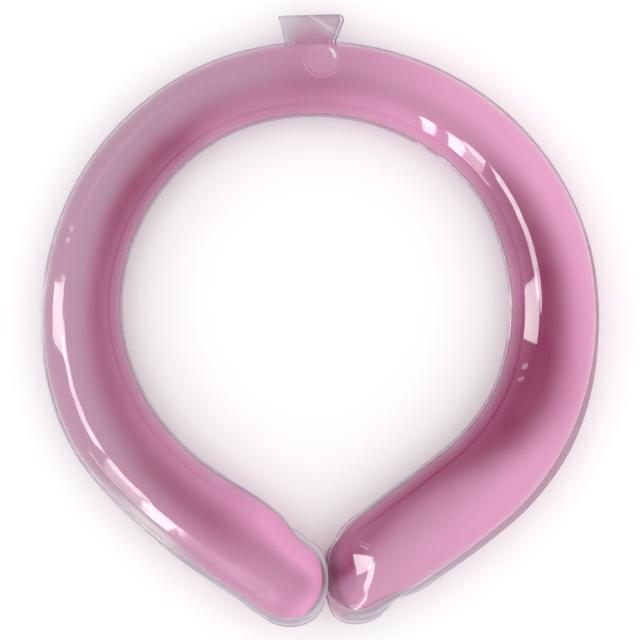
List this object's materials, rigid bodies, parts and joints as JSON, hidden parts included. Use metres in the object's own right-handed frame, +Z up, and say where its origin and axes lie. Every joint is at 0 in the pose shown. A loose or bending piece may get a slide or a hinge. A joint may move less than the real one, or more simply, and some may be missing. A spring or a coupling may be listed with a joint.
{
  "type": "neck cooling tube",
  "caption": "Soft open ring of cooling gel in a clear welded film, with overlapping tips and a filling tab at the nape.",
  "frame": {"origin": "middle of the whole box, on the surface that the ring lies on", "axes": "+Y towards the nape and its filling tab, -Y towards the two tips, +Z up from the surface, +X to the right seen from above"},
  "size_m": [0.179, 0.1962, 0.0285],
  "materials": {
    "clear_film": "clear soft glossy film",
    "pink_gel": "translucent pink gel"
  },
  "bodies": {
    "root": {"upper_film": "clear_film", "lower_film": "clear_film", "gel_core": "pink_gel"}
  },
  "joints": []
}
